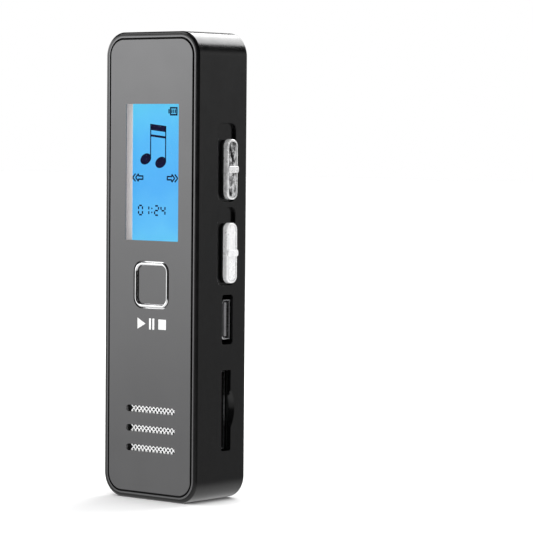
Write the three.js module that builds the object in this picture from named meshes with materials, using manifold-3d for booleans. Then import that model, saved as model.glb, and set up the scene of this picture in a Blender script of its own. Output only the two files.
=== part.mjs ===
// Handheld voice recorder, in millimetres.
// It stands on its end: +Z runs along its length, the front faces -Y, the slide switches and the
// sockets are on the +X side and the four small keys on the -X side. The origin is the centre of
// the flat bottom face.
import * as THREE from 'three';
import { mergeVertices } from 'three/addons/utils/BufferGeometryUtils.js';
import Module from 'manifold-3d';

const wasm = await Module();
wasm.setup();

// ---------- driving sizes ----------

const BODY = { width: 23.5, depth: 14, height: 88, corner: 4.5 };
const BODY_EDGE = { inset: 0.84, depth: 0.44 };      // rounding along the front and back faces
const HALF_WIDTH = BODY.width / 2;
const FRONT = -BODY.depth / 2;
const BACK = BODY.depth / 2;
const MIDDLE = BODY.height / 2;

const GAP = 0.05;            // between pieces that lie against each other
const OVERRUN = 1;           // how far a cutting tool runs past the face it cuts

const WALL = 1.6;            // the frame's wall at mid depth
const LEDGE = { inset: 2.2, corner: 2.4, thickness: 0.85 };
const PANEL = { inset: 1.4, thickness: 0.8, proud: 0.1, clearance: 0.1 };
const GLUE = { thickness: 0.15, width: 0.7 };
const PANEL_FRONT = FRONT - PANEL.proud;
const PANEL_BACK = PANEL_FRONT + PANEL.thickness;
const LEDGE_DEPTH = PANEL.thickness - PANEL.proud + GLUE.thickness + 2 * GAP;

const BOARD = { front: -0.65, back: 0.35, halfWidth: 9.6, low: 2, high: 85.9, corner: 2.5 };
const MOUNTED = BOARD.back + GAP;        // where parts sit on the board's back face
const FACED = BOARD.front - GAP;         // where parts sit on the board's front face

const WINDOW = { x: 0.33, z: 61.7, width: 13.25, height: 25.6 };
const SCREEN = { face: FRONT + 1.4, width: 12, height: 26.9, thickness: 1 };
const TRAY = { width: 15.2, height: 29.2, thickness: 2.2, corner: 0.6 };

const PLAY = { x: 0.3, z: 40.55, size: 8.5, corner: 1.8, rim: 0.6, proud: 0.1, dish: 0.45, clearance: 0.2 };
const PLAY_FRONT = PANEL_FRONT - PLAY.proud;
const PLAY_FLANGE = { size: 9.9, front: PANEL_BACK + 0.1, thickness: 0.6 };

const SLOT = { x: 0.3, length: 12.3, height: 1.25, z: [17.05, 13.35, 9.65] };
const SPEAKER = { z: 13.3, radius: 7.2, front: -5.35, rimBack: -3.6, magnetRadius: 4.5, back: -1.05 };

const SLIDER = { y: 1.7, width: 3, length: 11.3, proud: 1, travel: 2.6, corner: 1.3 };
const SLIDER_Z = { rec: 62.4, power: 46.75 };
const RECESS = { y: 1.2, width: 4.8, depth: 0.65, end: 0.3, corner: 1.2 };
const RIDGE = { height: 0.3, length: 1.25 };
const ACTUATOR = { y: 2, width: 1, length: 2, low: 8.2 };
const SWITCH = { low: 6.2, high: 9.6, length: 9, thickness: 3.1, channel: 8 };

const USB = { y: 1.63, z: 34.25, width: 2.96, length: 9.3, corner: 0.5 };
const USB_SHELL = { low: 5, high: 11.3, width: 2.45, length: 7.5, wall: 0.25, chamfer: 0.6 };
const CARD = { y: 1.44, z: 17.15, width: 2.54, length: 15.2, corner: 0.3 };
const CARD_COVER = { low: -4.2, high: 10.45, length: 14.7, back: 2.45, wall: 0.2 };
const SCOOP = { z: 17.4, radius: 6.44, reach: 3.8, depth: 0.9 };

const KEY = { y: 1.6, length: 6.6, width: 2.8, clearance: 0.15, corner: 1.1, proud: 0.35 };
const KEY_Z = { menu: 64.75, volume: 54.7, up: 44.55, down: 34.45 };
const KEY_FLANGE = { length: 7.8, width: 2.3, thickness: 0.4 };
const KEY_STEM = { length: 2, width: 1.4, reach: -9.15 };
const KEY_SWITCH = { nub: -8.75, face: -8.4, back: -5.4, length: 4.4, thickness: 2.6 };

const JACK = { y: 2.65, bore: 1.8, ring: 2.6, hole: 2.7, halfWidth: 3.2, low: 74.2, high: 86.2 };
const MIC = { x: -5.6, y: 2.65, radius: 1.75, boot: 2.2, hole: 0.6, low: 82.9, top: 84.7, high: 86.3 };

const SCREW = { x: 8.2, z: [5.2, 76.5], shank: 0.6, head: 1.2, headHeight: 0.8, tip: -2.6 };
const LUG = { inner: 7, halfLength: 1.4, front: -3.2, pilot: 0.66 };

const BATTERY = { width: 16, low: 12, high: 58, front: 3.65, back: 5.85 };
const BATTERY_EDGE = { inset: 0.5, depth: 0.5 };

// ---------- outlines ----------

function roundedRect(width, height, radius, x = 0, y = 0) {
  const left = x - width / 2;
  const right = x + width / 2;
  const low = y - height / 2;
  const high = y + height / 2;
  const shape = new THREE.Shape();
  shape.moveTo(left + radius, low);
  shape.lineTo(right - radius, low);
  shape.absarc(right - radius, low + radius, radius, -Math.PI / 2, 0, false);
  shape.lineTo(right, high - radius);
  shape.absarc(right - radius, high - radius, radius, 0, Math.PI / 2, false);
  shape.lineTo(left + radius, high);
  shape.absarc(left + radius, high - radius, radius, Math.PI / 2, Math.PI, false);
  shape.lineTo(left, low + radius);
  shape.absarc(left + radius, low + radius, radius, Math.PI, 1.5 * Math.PI, false);
  return shape;
}

function outlineAt(inset, corner) {
  return roundedRect(BODY.width - 2 * inset, BODY.height - 2 * inset, corner, 0, MIDDLE);
}

function polygon(points) {
  return new THREE.Shape(points.map(([x, y]) => new THREE.Vector2(x, y)));
}

// ---------- solids ----------

// Extrudes an outline drawn in X and Z from y = front to y = back.
function plateY(shape, front, back, curveSegments = 6) {
  const options = { depth: back - front, bevelEnabled: false, curveSegments };
  const geometry = new THREE.ExtrudeGeometry(shape, options);
  return geometry.rotateX(Math.PI / 2).translate(0, back, 0);
}

// Turns an extrusion along +Z into one along +X, whose outline then lies in Y and Z.
const ONTO_SIDE = new THREE.Matrix4().makeBasis(
  new THREE.Vector3(0, 1, 0),
  new THREE.Vector3(0, 0, 1),
  new THREE.Vector3(1, 0, 0),
);

// Extrudes an outline drawn in Y and Z from x = low to x = high.
function plateX(shape, low, high, curveSegments = 6) {
  const options = { depth: high - low, bevelEnabled: false, curveSegments };
  return new THREE.ExtrudeGeometry(shape, options).applyMatrix4(ONTO_SIDE).translate(low, 0, 0);
}

// A block whose outline, drawn in X and Z, is rounded over all round at both ends. The rounding
// takes edge.inset off the end faces and edge.depth off the sides.
function pillowY(width, height, corner, edge, front, back, z, steps = 4) {
  const shape = roundedRect(width - 2 * edge.inset, height - 2 * edge.inset, corner - edge.inset, 0, z);
  const options = {
    depth: back - front - 2 * edge.depth,
    bevelThickness: edge.depth,
    bevelSize: edge.inset,
    bevelSegments: steps,
    curveSegments: 6,
  };
  const geometry = new THREE.ExtrudeGeometry(shape, options);
  return geometry.rotateX(Math.PI / 2).translate(0, back - edge.depth, 0);
}

function block(low, high) {
  const size = high.map((value, axis) => value - low[axis]);
  const centre = high.map((value, axis) => (value + low[axis]) / 2);
  return new THREE.BoxGeometry(...size).translate(...centre);
}

function rodY(radius, front, back, x, z, sides = 20) {
  const geometry = new THREE.CylinderGeometry(radius, radius, back - front, sides);
  return geometry.translate(x, (front + back) / 2, z);
}

function rodZ(radius, low, high, x, y, sides = 24) {
  const geometry = new THREE.CylinderGeometry(radius, radius, high - low, sides);
  return geometry.rotateX(Math.PI / 2).translate(x, y, (low + high) / 2);
}

// Turns a profile of [radius, along] points about an axis that runs along Y or Z.
function turned(profile, axis, x, other, sides = 28) {
  const points = profile.map(([radius, along]) => new THREE.Vector2(radius, along));
  const geometry = new THREE.LatheGeometry(points, sides);
  if (axis === 'z') {
    return geometry.rotateX(Math.PI / 2).translate(x, other, 0);
  }
  return geometry.translate(x, 0, other);
}

// ---------- booleans ----------

function toSolid(geometry) {
  const bare = geometry.clone();
  bare.deleteAttribute('normal');
  bare.deleteAttribute('uv');
  const merged = mergeVertices(bare, 1e-4);
  const index = merged.index.array;
  const corners = [];
  for (let i = 0; i < index.length; i += 3) {
    const [a, b, c] = index.slice(i, i + 3);
    if (a !== b && b !== c && c !== a) {
      corners.push(a, b, c);
    }
  }
  return new wasm.Manifold(new wasm.Mesh({
    numProp: 3,
    vertProperties: new Float32Array(merged.attributes.position.array),
    triVerts: new Uint32Array(corners),
  }));
}

function toGeometry(solid) {
  const mesh = solid.getMesh();
  const geometry = new THREE.BufferGeometry();
  geometry.setAttribute('position', new THREE.BufferAttribute(new Float32Array(mesh.vertProperties), 3));
  geometry.setIndex(new THREE.BufferAttribute(new Uint32Array(mesh.triVerts), 1));
  const flat = geometry.toNonIndexed();
  flat.computeVertexNormals();
  return flat;
}

// Joins the first list of pieces and takes the second list away from them.
function carve(pieces, tools = []) {
  let solid = toSolid(pieces[0]);
  for (const piece of pieces.slice(1)) {
    solid = solid.add(toSolid(piece));
  }
  for (const tool of tools) {
    solid = solid.subtract(toSolid(tool));
  }
  return toGeometry(solid);
}

// ---------- materials ----------

function finish(color, roughness, metalness) {
  return new THREE.MeshStandardMaterial({ color, roughness, metalness });
}

const MATERIAL = {
  blackGloss: finish(0x141416, 0.25, 0.3),
  mirrorPanel: finish(0x6a6a6c, 0.12, 0.9),
  clearWindow: finish(0xbfdcf0, 0.05, 0),
  glue: finish(0x1c1c1c, 0.7, 0),
  screen: finish(0x58b8fb, 0.3, 0),
  tray: finish(0xe8e2e0, 0.6, 0),
  foam: finish(0x2a2a2a, 0.95, 0),
  flex: finish(0xb9772a, 0.5, 0.1),
  circuitBoard: finish(0x14532f, 0.5, 0.1),
  chip: finish(0x1d1d1f, 0.55, 0),
  chrome: finish(0xe4e4e6, 0.12, 1),
  steel: finish(0xb4b6b9, 0.35, 1),
  speakerMesh: finish(0xc9cbce, 0.3, 1),
  cone: finish(0x33302e, 0.8, 0),
  blackPlastic: finish(0x161616, 0.5, 0),
  greyPlastic: finish(0x85878a, 0.55, 0),
  battery: finish(0xc4c7cc, 0.4, 0.6),
  brass: finish(0xc9a44c, 0.35, 1),
};

// ---------- housing ----------

function sliderRecess(z) {
  const low = z - SLIDER.length / 2 - RECESS.end;
  const high = z + SLIDER.length / 2 + SLIDER.travel + RECESS.end;
  const shape = roundedRect(RECESS.width, high - low, RECESS.corner, RECESS.y, (low + high) / 2);
  return plateX(shape, HALF_WIDTH - RECESS.depth, HALF_WIDTH + OVERRUN, 4);
}

// The opening that lets the knob's actuator reach the switch behind the wall.
function actuatorSlot(z) {
  const side = 0.2;
  const length = ACTUATOR.length + SLIDER.travel + 2 * side;
  const width = ACTUATOR.width + 2 * side;
  const middle = z + SLIDER.travel / 2;
  const inner = HALF_WIDTH - WALL - OVERRUN;
  return plateX(roundedRect(width, length, 0.3, ACTUATOR.y, middle), inner, HALF_WIDTH, 2);
}

function keyHole(z) {
  const length = KEY.length + 2 * KEY.clearance;
  const width = KEY.width + 2 * KEY.clearance;
  const shape = roundedRect(width, length, KEY.corner + KEY.clearance, KEY.y, z);
  return plateX(shape, -HALF_WIDTH - OVERRUN, -HALF_WIDTH + WALL + OVERRUN, 4);
}

// A shallow thumbnail notch on the back side of the card slot.
function cardScoop() {
  const shape = new THREE.Shape();
  shape.absarc(SCOOP.reach - SCOOP.radius, SCOOP.z, SCOOP.radius, -Math.PI / 4, Math.PI / 4, false);
  return plateX(shape, HALF_WIDTH - SCOOP.depth, HALF_WIDTH + OVERRUN, 10);
}

function eachScrew(make) {
  return SCREW.z.flatMap((z) => [-SCREW.x, SCREW.x].map((x) => make(x, z)));
}

function frameLug(x, z) {
  const inner = Math.sign(x) * LUG.inner;
  const outer = Math.sign(x) * (HALF_WIDTH - WALL / 2);
  const low = [Math.min(inner, outer), LUG.front, z - LUG.halfLength];
  const high = [Math.max(inner, outer), FACED, z + LUG.halfLength];
  return block(low, high);
}

function frame() {
  const outer = pillowY(BODY.width, BODY.height, BODY.corner, BODY_EDGE, FRONT, BACK, MIDDLE);
  const pocket = outlineAt(PANEL.inset - PANEL.clearance, BODY.corner - PANEL.inset + PANEL.clearance);
  const ledge = outlineAt(LEDGE.inset, LEDGE.corner);
  const cavity = outlineAt(WALL, BODY.corner - WALL);
  const floor = FRONT + LEDGE_DEPTH + LEDGE.thickness;
  const hollow = carve([outer], [
    plateY(pocket, FRONT - OVERRUN, FRONT + LEDGE_DEPTH),
    plateY(pocket, BACK - LEDGE_DEPTH, BACK + OVERRUN),
    plateY(ledge, FRONT, BACK),
    plateY(cavity, floor, -floor),
  ]);
  const cuts = [
    ...Object.values(SLIDER_Z).flatMap((z) => [sliderRecess(z), actuatorSlot(z)]),
    ...Object.values(KEY_Z).map(keyHole),
    ...eachScrew((x, z) => rodY(LUG.pilot, LUG.front - OVERRUN, BOARD.front, x, z, 12)),
    plateX(roundedRect(USB.width, USB.length, USB.corner, USB.y, USB.z), SWITCH.high, HALF_WIDTH + OVERRUN, 3),
    plateX(roundedRect(CARD.width, CARD.length, CARD.corner, CARD.y, CARD.z), SWITCH.high, HALF_WIDTH + OVERRUN, 2),
    cardScoop(),
    rodZ(JACK.hole, JACK.high, BODY.height + OVERRUN, 0, JACK.y),
    rodZ(MIC.hole, MIC.high, BODY.height + OVERRUN, MIC.x, MIC.y, 16),
  ];
  return carve([hollow, ...eachScrew(frameLug)], cuts);
}

function panelOutline() {
  return outlineAt(PANEL.inset, BODY.corner - PANEL.inset);
}

function frontPanel() {
  const keyOpening = PLAY.size + 2 * PLAY.clearance;
  const windowShape = roundedRect(WINDOW.width, WINDOW.height, 0.15, WINDOW.x, WINDOW.z);
  const shapes = [
    windowShape,
    roundedRect(keyOpening, keyOpening, PLAY.corner + PLAY.clearance, PLAY.x, PLAY.z),
    ...SLOT.z.map((z) => roundedRect(SLOT.length, SLOT.height, SLOT.height / 2 - 0.005, SLOT.x, z)),
  ];
  const tools = shapes.map((shape) => plateY(shape, PANEL_FRONT - OVERRUN, PANEL_BACK + OVERRUN, 4));
  return carve([plateY(panelOutline(), PANEL_FRONT, PANEL_BACK)], tools);
}

function backPanel() {
  return plateY(panelOutline(), -PANEL_BACK, -PANEL_FRONT);
}

function glueRing(front) {
  const outside = outlineAt(PANEL.inset, BODY.corner - PANEL.inset);
  const inset = PANEL.inset + GLUE.width;
  outside.holes.push(outlineAt(inset, LEDGE.corner));
  return plateY(outside, front, front + GLUE.thickness, 4);
}

// ---------- display ----------

function displayWindow() {
  const width = WINDOW.width - 2 * GAP;
  const height = WINDOW.height - 2 * GAP;
  const shape = roundedRect(width, height, 0.12, WINDOW.x, WINDOW.z);
  return plateY(shape, PANEL_FRONT + GAP, PANEL_BACK - GAP, 2);
}

function screenOutline(clearance) {
  const width = SCREEN.width + 2 * clearance;
  const height = SCREEN.height + 2 * clearance;
  return roundedRect(width, height, 0.1, 0, WINDOW.z);
}

function lcdPanel() {
  return plateY(screenOutline(0), SCREEN.face, SCREEN.face + SCREEN.thickness, 2);
}

function lcdTray() {
  const tray = roundedRect(TRAY.width, TRAY.height, TRAY.corner, 0, WINDOW.z);
  const seat = SCREEN.face + SCREEN.thickness + GAP;
  return carve(
    [plateY(tray, SCREEN.face, SCREEN.face + TRAY.thickness, 3)],
    [plateY(screenOutline(GAP), SCREEN.face - OVERRUN, seat, 2)],
  );
}

function lcdSpacer() {
  const front = SCREEN.face + TRAY.thickness + GAP;
  const halfWidth = 6.5;
  return block([-halfWidth, front, 50], [halfWidth, FACED, 74]);
}

// The flat cable folds from under the screen tray back to the board.
function displayFlex() {
  const sheet = 0.15;
  const halfWidth = 4.5;
  const screenEnd = -4.6;
  const bottom = 46.2;
  const trayLow = WINDOW.z - TRAY.height / 2 - GAP;
  const boardEnd = FACED - sheet;
  const shape = polygon([
    [screenEnd, trayLow],
    [screenEnd, bottom],
    [FACED, bottom],
    [FACED, 49],
    [boardEnd, 49],
    [boardEnd, bottom + sheet],
    [screenEnd + sheet, bottom + sheet],
    [screenEnd + sheet, trayLow],
  ]);
  return plateX(shape, -halfWidth, halfWidth);
}

// ---------- board and what is on it ----------

function mainBoard() {
  const height = BOARD.high - BOARD.low;
  const shape = roundedRect(2 * BOARD.halfWidth, height, BOARD.corner, 0, BOARD.low + height / 2);
  const holes = eachScrew((x, z) => rodY(SCREW.shank + 0.2, BOARD.front - OVERRUN, BOARD.back + OVERRUN, x, z, 16));
  return carve([plateY(shape, BOARD.front, BOARD.back, 4)], holes);
}

function boardScrew(x, z) {
  const seat = MOUNTED;
  const top = seat + SCREW.headHeight;
  const profile = [[0, SCREW.tip], [SCREW.shank, SCREW.tip + 0.4], [SCREW.shank, seat],
    [SCREW.head, seat], [SCREW.head, top - 0.25], [SCREW.head - 0.3, top], [0, top]];
  return turned(profile, 'y', x, z, 12);
}

function chip(width, length, thickness, x, z) {
  return block([x - width / 2, MOUNTED, z - length / 2], [x + width / 2, MOUNTED + thickness, z + length / 2]);
}

function playSwitch() {
  const half = 2.6;
  const face = -2.6;
  const nub = -3.3;
  return carve([
    block([PLAY.x - half, face, PLAY.z - half], [PLAY.x + half, FACED, PLAY.z + half]),
    rodY(1.1, nub, face + 0.3, PLAY.x, PLAY.z),
  ]);
}

function slideSwitch(z) {
  const middle = z + SLIDER.travel / 2;
  const side = 0.15;
  const channelWidth = ACTUATOR.width + 2 * side;
  const channelLength = ACTUATOR.length + SLIDER.travel + 2 * side;
  const body = block(
    [SWITCH.low, MOUNTED, middle - SWITCH.length / 2],
    [SWITCH.high, MOUNTED + SWITCH.thickness, middle + SWITCH.length / 2],
  );
  const channel = block(
    [SWITCH.channel, ACTUATOR.y - channelWidth / 2, middle - channelLength / 2],
    [SWITCH.high + OVERRUN, ACTUATOR.y + channelWidth / 2, middle + channelLength / 2],
  );
  return carve([body], [channel]);
}

function keySwitch(z) {
  const half = KEY_SWITCH.length / 2;
  const nubHalf = 0.7;
  return carve([
    block([KEY_SWITCH.face, MOUNTED, z - half], [KEY_SWITCH.back, MOUNTED + KEY_SWITCH.thickness, z + half]),
    block([KEY_SWITCH.nub, KEY.y - nubHalf, z - nubHalf], [KEY_SWITCH.face + 0.3, KEY.y + nubHalf, z + nubHalf]),
  ]);
}

// A six-sided outline: a rectangle in Y and Z whose two front corners are cut off.
function usbOutline(margin) {
  const width = USB_SHELL.width - 2 * margin;
  const length = USB_SHELL.length - 2 * margin;
  const front = MOUNTED + margin;
  const back = front + width;
  const low = USB.z - length / 2;
  const high = USB.z + length / 2;
  const cut = USB_SHELL.chamfer;
  return polygon([[front, low + cut], [front + cut, low], [back, low], [back, high],
    [front + cut, high], [front, high - cut]]);
}

function usbShell() {
  const outside = plateX(usbOutline(0), USB_SHELL.low, USB_SHELL.high);
  const inside = plateX(usbOutline(USB_SHELL.wall), USB_SHELL.low + USB_SHELL.wall, USB_SHELL.high + OVERRUN);
  return carve([outside], [inside]);
}

function usbTongue() {
  const root = USB_SHELL.low + USB_SHELL.wall + GAP;
  const heel = plateX(usbOutline(USB_SHELL.wall + GAP), root, root + 0.8);
  const blade = block([root + 0.4, 1.5, USB.z - 3.2], [USB_SHELL.high - 0.3, 2.2, USB.z + 3.2]);
  return carve([heel, blade]);
}

function cardCover() {
  const half = CARD_COVER.length / 2;
  const low = CARD.z - half;
  const high = CARD.z + half;
  const { wall } = CARD_COVER;
  return carve(
    [block([CARD_COVER.low, MOUNTED, low], [CARD_COVER.high, CARD_COVER.back, high])],
    [block([CARD_COVER.low + wall, MOUNTED - OVERRUN, low + wall],
      [CARD_COVER.high + OVERRUN, CARD_COVER.back - wall, high - wall])],
  );
}

function cardBase() {
  const half = CARD_COVER.length / 2 - CARD_COVER.wall - GAP;
  const back = CARD_COVER.low + CARD_COVER.wall + GAP;
  const floor = 0.45;
  const top = CARD_COVER.back - CARD_COVER.wall - GAP;
  return carve([
    block([back, MOUNTED, CARD.z - half], [CARD_COVER.high - 0.3, MOUNTED + floor, CARD.z + half]),
    block([back, MOUNTED, CARD.z - half], [back + 1, top, CARD.z + half]),
  ]);
}

function headphoneJack() {
  const body = block(
    [-JACK.halfWidth, MOUNTED, JACK.low],
    [JACK.halfWidth, 2 * JACK.y - MOUNTED, JACK.high],
  );
  return carve([body], [rodZ(JACK.bore, JACK.low + 1, JACK.high + OVERRUN, 0, JACK.y)]);
}

function jackRing() {
  const low = JACK.high + 2 * GAP;
  const high = BODY.height - GAP;
  const lead = 0.25;
  const profile = [[JACK.bore, low], [JACK.ring, low], [JACK.ring, high],
    [JACK.bore + lead, high], [JACK.bore, high - lead], [JACK.bore, low]];
  return turned(profile, 'z', 0, JACK.y, 32);
}

function microphone() {
  const profile = [[0, MIC.low], [MIC.radius, MIC.low], [MIC.radius, MIC.top], [0, MIC.top]];
  return turned(profile, 'z', MIC.x, MIC.y, 24);
}

function microphoneBoot() {
  const inner = MIC.radius + GAP;
  const step = MIC.top + GAP;
  const profile = [[inner, MIC.low], [MIC.boot, MIC.low], [MIC.boot, MIC.high],
    [MIC.hole, MIC.high], [MIC.hole, step], [inner, step], [inner, MIC.low]];
  return turned(profile, 'z', MIC.x, MIC.y, 24);
}

// ---------- speaker ----------

function speakerMesh() {
  const front = PANEL_BACK + GAP;
  const thickness = 0.2;
  return plateY(roundedRect(13.6, 10.4, 1, 0, SPEAKER.z), front, front + thickness, 3);
}

function speakerFoam() {
  const front = PANEL_BACK + 2 * GAP + 0.2;
  const back = SPEAKER.front - GAP;
  const inner = 6.4;
  const profile = [[inner, front], [SPEAKER.radius, front], [SPEAKER.radius, back], [inner, back], [inner, front]];
  return turned(profile, 'y', 0, SPEAKER.z, 28);
}

function speakerFrame() {
  const lip = 6.7;
  const seat = -3.95;
  const profile = [[0, seat], [3, seat], [lip, SPEAKER.front + 0.6], [lip, SPEAKER.front],
    [SPEAKER.radius, SPEAKER.front], [SPEAKER.radius, SPEAKER.rimBack],
    [SPEAKER.magnetRadius, SPEAKER.rimBack], [SPEAKER.magnetRadius, SPEAKER.back], [0, SPEAKER.back]];
  return turned(profile, 'y', 0, SPEAKER.z, 28);
}

function speakerCone() {
  const skin = 0.2;
  const edge = 6.4;
  const rim = SPEAKER.front + 0.2;
  const dip = -4.5;
  const profile = [[0, dip - 0.6], [2.2, dip], [edge - 0.8, rim], [edge, rim],
    [edge, rim + skin], [edge - 0.7, rim + skin], [2.2, dip + skin], [0, dip + skin - 0.6]];
  return turned(profile, 'y', 0, SPEAKER.z, 28);
}

// ---------- battery ----------

function batteryCell() {
  const { width, low, high, front, back } = BATTERY;
  return pillowY(width, high - low, 1.5, BATTERY_EDGE, front, back, (low + high) / 2, 1);
}

function batteryBoard() {
  const halfWidth = 7;
  return block([-halfWidth, 3.9, BATTERY.high + 0.4], [halfWidth, 5.1, BATTERY.high + 3.8]);
}

// ---------- what moves ----------

function playRim() {
  const flange = roundedRect(PLAY_FLANGE.size, PLAY_FLANGE.size, PLAY.corner + 0.6, PLAY.x, PLAY.z);
  const outside = roundedRect(PLAY.size, PLAY.size, PLAY.corner, PLAY.x, PLAY.z);
  const well = PLAY.size - 2 * PLAY.rim;
  const inside = roundedRect(well, well, PLAY.corner - PLAY.rim, PLAY.x, PLAY.z);
  const back = PLAY_FLANGE.front + PLAY_FLANGE.thickness;
  return carve(
    [plateY(outside, PLAY_FRONT, back), plateY(flange, PLAY_FLANGE.front, back)],
    [plateY(inside, PLAY_FRONT - OVERRUN, PANEL_BACK + GAP)],
  );
}

function playInlay() {
  const size = PLAY.size - 2 * PLAY.rim - 2 * GAP;
  const shape = roundedRect(size, size, PLAY.corner - PLAY.rim - GAP, PLAY.x, PLAY.z);
  return plateY(shape, PLAY_FRONT + PLAY.dish, PANEL_BACK);
}

function playPlunger() {
  const front = PLAY_FLANGE.front + PLAY_FLANGE.thickness + GAP;
  return rodY(1.5, front, -3.7, PLAY.x, PLAY.z);
}

function sliderKnob(z) {
  const floor = HALF_WIDTH - RECESS.depth + GAP;
  const top = HALF_WIDTH + SLIDER.proud;
  const edge = 0.3;
  const shape = roundedRect(SLIDER.width - 2 * edge, SLIDER.length - 2 * edge, SLIDER.corner - edge, 0, 0);
  const options = {
    depth: top - floor - 2 * edge,
    bevelThickness: edge,
    bevelSize: edge,
    bevelSegments: 2,
    curveSegments: 4,
  };
  const pad = new THREE.ExtrudeGeometry(shape, options);
  pad.applyMatrix4(ONTO_SIDE).translate(floor + edge, SLIDER.y, z);
  const half = SLIDER.width / 2 - 0.1;
  const ridge = block(
    [top - edge, SLIDER.y - half, z - RIDGE.length / 2],
    [top + RIDGE.height, SLIDER.y + half, z + RIDGE.length / 2],
  );
  return carve([pad, ridge]);
}

function sliderActuator(z) {
  const halfWidth = ACTUATOR.width / 2;
  const halfLength = ACTUATOR.length / 2;
  return block(
    [ACTUATOR.low, ACTUATOR.y - halfWidth, z - halfLength],
    [HALF_WIDTH - RECESS.depth, ACTUATOR.y + halfWidth, z + halfLength],
  );
}

function keyCap(z) {
  const outer = -HALF_WIDTH - KEY.proud;
  const inner = -HALF_WIDTH + WALL;
  const crown = 0.25;
  const waist = roundedRect(KEY.width, KEY.length, KEY.corner, KEY.y, z);
  const top = roundedRect(KEY.width - 2 * crown, KEY.length - 2 * crown, KEY.corner - crown, KEY.y, z);
  const flange = roundedRect(KEY_FLANGE.width, KEY_FLANGE.length, 0.4, KEY.y, z);
  return carve([
    plateX(waist, outer + crown, inner + 0.1, 3),
    plateX(top, outer, outer + crown + 0.1, 3),
    plateX(flange, inner + 0.1, inner + 0.1 + KEY_FLANGE.thickness, 2),
  ]);
}

function keyStem(z) {
  const halfLength = KEY_STEM.length / 2;
  const halfWidth = KEY_STEM.width / 2;
  const start = -HALF_WIDTH + WALL + 0.1 + KEY_FLANGE.thickness + GAP;
  return block(
    [start, KEY.y - halfWidth, z - halfLength],
    [KEY_STEM.reach, KEY.y + halfWidth, z + halfLength],
  );
}

// ---------- assembly ----------

const recorder = new THREE.Group();

function place(name, geometry, material) {
  const mesh = new THREE.Mesh(geometry, material);
  mesh.name = name;
  recorder.add(mesh);
}

place('frame', frame(), MATERIAL.blackGloss);
place('front_panel', frontPanel(), MATERIAL.mirrorPanel);
place('back_panel', backPanel(), MATERIAL.mirrorPanel);
place('front_glue_ring', glueRing(PANEL_BACK + GAP), MATERIAL.glue);
place('back_glue_ring', glueRing(-PANEL_BACK - GAP - GLUE.thickness), MATERIAL.glue);

place('display_window', displayWindow(), MATERIAL.clearWindow);
place('lcd_panel', lcdPanel(), MATERIAL.screen);
place('lcd_tray', lcdTray(), MATERIAL.tray);
place('lcd_spacer', lcdSpacer(), MATERIAL.foam);
place('display_flex', displayFlex(), MATERIAL.flex);

place('main_board', mainBoard(), MATERIAL.circuitBoard);
eachScrew(boardScrew).forEach((screw, i) => place(`board_screw_${i + 1}`, screw, MATERIAL.steel));
place('processor', chip(7, 7, 0.9, 0, 44), MATERIAL.chip);
place('flash_memory', chip(8, 12, 1, 0, 58), MATERIAL.chip);
place('crystal', chip(3.2, 1.5, 0.8, 0, 36.5), MATERIAL.steel);

place('usb_shell', usbShell(), MATERIAL.steel);
place('usb_tongue', usbTongue(), MATERIAL.greyPlastic);
place('card_cover', cardCover(), MATERIAL.steel);
place('card_base', cardBase(), MATERIAL.blackPlastic);
place('headphone_jack', headphoneJack(), MATERIAL.blackPlastic);
place('jack_ring', jackRing(), MATERIAL.brass);
place('microphone', microphone(), MATERIAL.steel);
place('microphone_boot', microphoneBoot(), MATERIAL.foam);

place('speaker_mesh', speakerMesh(), MATERIAL.speakerMesh);
place('speaker_foam', speakerFoam(), MATERIAL.foam);
place('speaker_frame', speakerFrame(), MATERIAL.steel);
place('speaker_cone', speakerCone(), MATERIAL.cone);

place('battery_cell', batteryCell(), MATERIAL.battery);
place('battery_board', batteryBoard(), MATERIAL.circuitBoard);

place('play_rim', playRim(), MATERIAL.chrome);
place('play_inlay', playInlay(), MATERIAL.mirrorPanel);
place('play_plunger', playPlunger(), MATERIAL.blackPlastic);
place('play_switch', playSwitch(), MATERIAL.blackPlastic);

for (const [name, z] of Object.entries(SLIDER_Z)) {
  place(`${name}_knob`, sliderKnob(z), MATERIAL.chrome);
  place(`${name}_actuator`, sliderActuator(z), MATERIAL.blackPlastic);
  place(`${name}_switch`, slideSwitch(z), MATERIAL.steel);
}

for (const [name, z] of Object.entries(KEY_Z)) {
  place(`${name}_key`, keyCap(z), MATERIAL.chrome);
  place(`${name}_stem`, keyStem(z), MATERIAL.blackPlastic);
  place(`${name}_switch`, keySwitch(z), MATERIAL.blackPlastic);
}

export default recorder;
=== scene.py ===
"""Looks of the handheld voice recorder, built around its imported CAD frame.

The recorder stands on its end: +Z runs along its length, the front faces -Y, the slide switches and
sockets are on +X and the four small keys on -X. Shapes are built in millimetres and scaled to
metres when they become pieces.
"""

import math

import bmesh
import bpy
from mathutils import Matrix, Vector


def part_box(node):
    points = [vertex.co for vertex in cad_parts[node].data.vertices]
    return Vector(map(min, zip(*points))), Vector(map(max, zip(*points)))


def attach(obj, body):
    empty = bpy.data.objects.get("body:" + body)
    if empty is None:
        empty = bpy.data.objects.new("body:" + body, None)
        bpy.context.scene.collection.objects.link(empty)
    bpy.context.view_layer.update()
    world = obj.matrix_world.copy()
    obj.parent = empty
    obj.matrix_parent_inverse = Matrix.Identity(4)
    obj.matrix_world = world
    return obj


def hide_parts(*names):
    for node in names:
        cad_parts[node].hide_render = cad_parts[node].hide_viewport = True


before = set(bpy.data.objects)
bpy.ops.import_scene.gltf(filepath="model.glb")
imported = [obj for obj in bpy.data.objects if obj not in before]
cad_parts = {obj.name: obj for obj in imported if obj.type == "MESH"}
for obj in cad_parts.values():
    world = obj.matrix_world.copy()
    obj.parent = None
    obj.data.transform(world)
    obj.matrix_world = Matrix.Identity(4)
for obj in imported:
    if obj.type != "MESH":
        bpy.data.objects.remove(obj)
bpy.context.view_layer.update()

MM = 0.001
HOUSING = "housing"


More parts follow.
